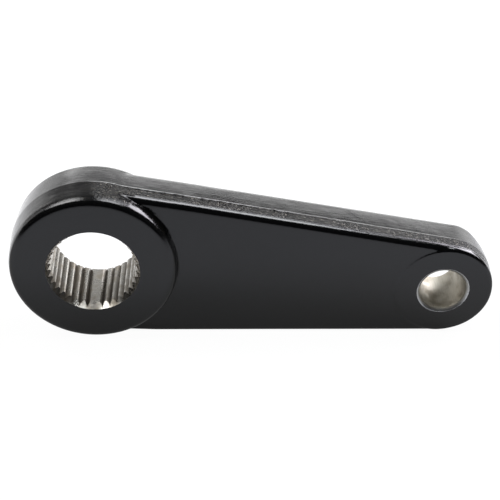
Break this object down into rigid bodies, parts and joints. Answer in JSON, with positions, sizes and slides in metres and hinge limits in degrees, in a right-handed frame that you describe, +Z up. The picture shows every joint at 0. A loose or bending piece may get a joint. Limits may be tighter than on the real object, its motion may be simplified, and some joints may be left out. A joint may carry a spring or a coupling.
{
  "type": "pitman arm",
  "caption": "Forged steering lever with a raised boss round a tapered, serrated bore at the big end and a tapered stud hole in a low pad at the small end.",
  "frame": {"origin": "on the axis of the splined bore, in the parting plane of the forging", "axes": "+X along the lower edge towards the small end, +Y towards the flat rear face, +Z up; the lever stands on its lower edge as in the picture"},
  "size_m": [0.2088, 0.0287, 0.0724],
  "materials": {
    "forging": "satin black paint over forged steel, with the bores machined"
  },
  "bodies": {
    "root": {"pitman_arm": "forging"}
  },
  "joints": []
}
